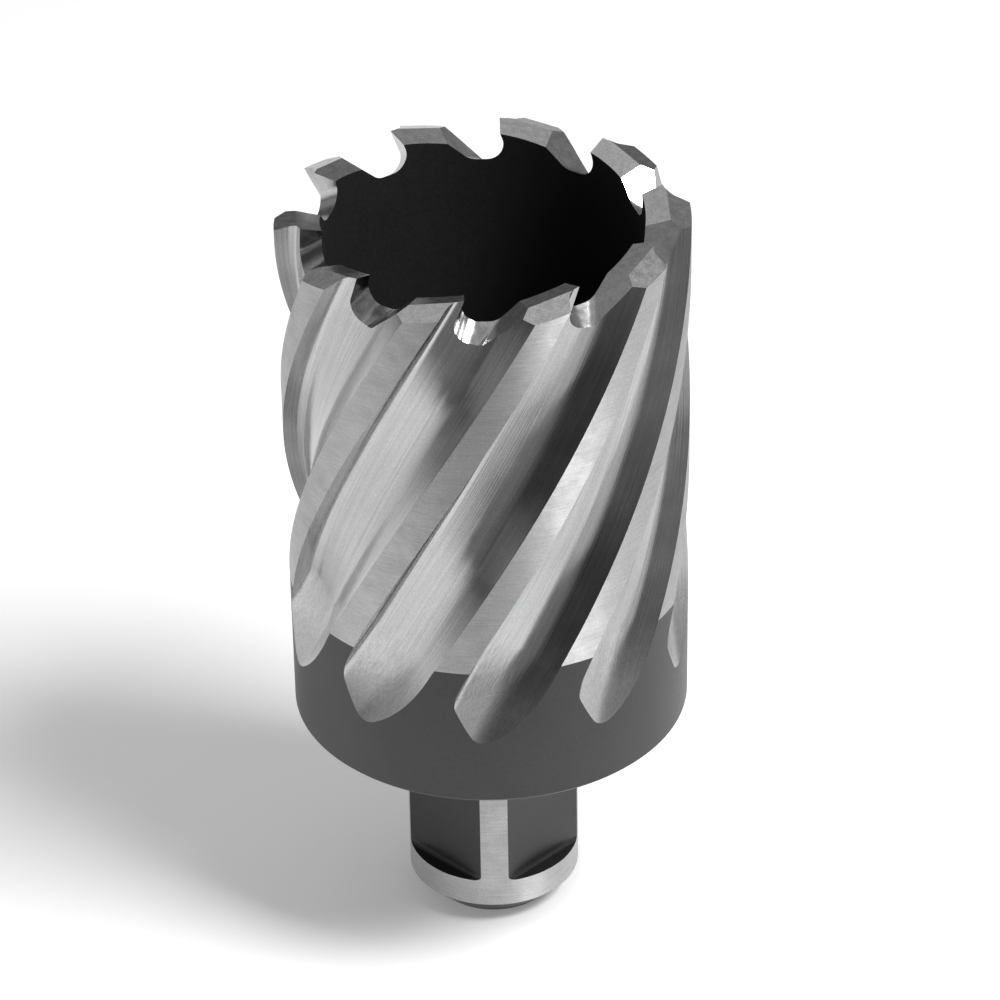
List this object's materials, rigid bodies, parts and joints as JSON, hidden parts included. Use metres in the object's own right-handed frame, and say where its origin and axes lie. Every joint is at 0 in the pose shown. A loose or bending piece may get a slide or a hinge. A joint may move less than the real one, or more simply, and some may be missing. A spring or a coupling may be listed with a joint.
{
  "type": "annular cutter",
  "caption": "Hollow core drill with a toothed rim, helical flutes on a tubular body and a straight two-flat shank.",
  "frame": {"origin": "centre of the shank's end face", "axes": "+Z along the tool's axis towards the teeth, -Y between the shank's two flats"},
  "size_m": [0.044, 0.044, 0.0874],
  "materials": {
    "steel": "ground high-speed steel, black oxide on the crown, the shank's flats and the bore"
  },
  "bodies": {
    "root": {"cutter": "steel"}
  },
  "joints": []
}
